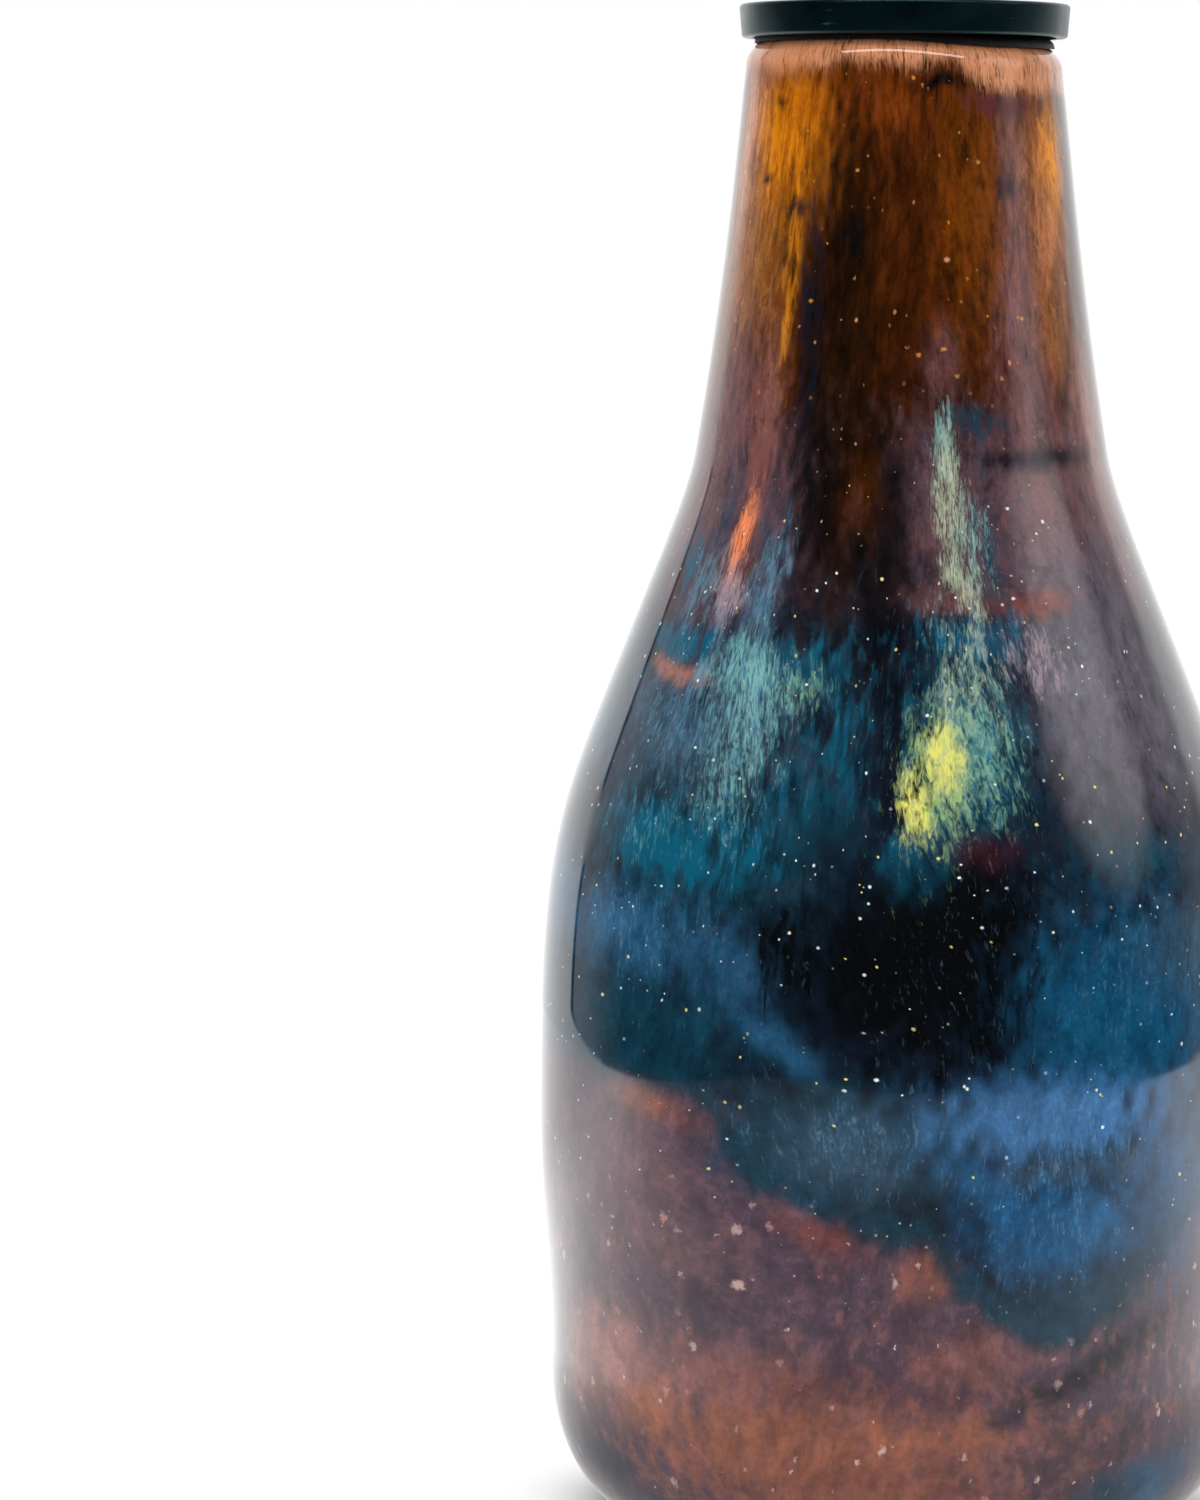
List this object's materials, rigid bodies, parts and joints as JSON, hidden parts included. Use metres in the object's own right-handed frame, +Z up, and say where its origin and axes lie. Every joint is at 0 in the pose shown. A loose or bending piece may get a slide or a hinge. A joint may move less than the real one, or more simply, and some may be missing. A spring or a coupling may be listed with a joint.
{
  "type": "cruet",
  "caption": "Stoneware oil cruet: round-shouldered bottle with a tapering neck and a curved steel pourer that swivels in a black flanged stopper and lifts out.",
  "frame": {"origin": "on the table, under the centre of the foot", "axes": "+Z up along the bottle's axis; the spout leans towards -X; the pictured side faces -Y"},
  "size_m": [0.066, 0.066, 0.1881],
  "materials": {
    "glaze": "glossy running glaze in amber, mauve-brown, blue and near-black over buff stoneware",
    "collar_plastic": "black, satin",
    "sleeve_rubber": "black, matt",
    "steel": "polished stainless steel"
  },
  "bodies": {
    "bottle": {"bottle": "glaze"},
    "stopper": {"stopper_collar": "collar_plastic", "sealing_sleeve": "sleeve_rubber"},
    "spout": {"pour_spout": "steel", "spout_ferrule": "steel", "breather_tube": "steel"}
  },
  "joints": [
    {"name": "stopper_lift", "type": "slide", "parent": "bottle", "child": "stopper", "axis": [0, 0, 1], "range_m": [0, 0.06]},
    {"name": "spout_swivel", "type": "hinge", "parent": "stopper", "child": "spout", "pos_m": [0, 0, 0.139], "axis": [0, 0, 1], "continuous": true}
  ]
}
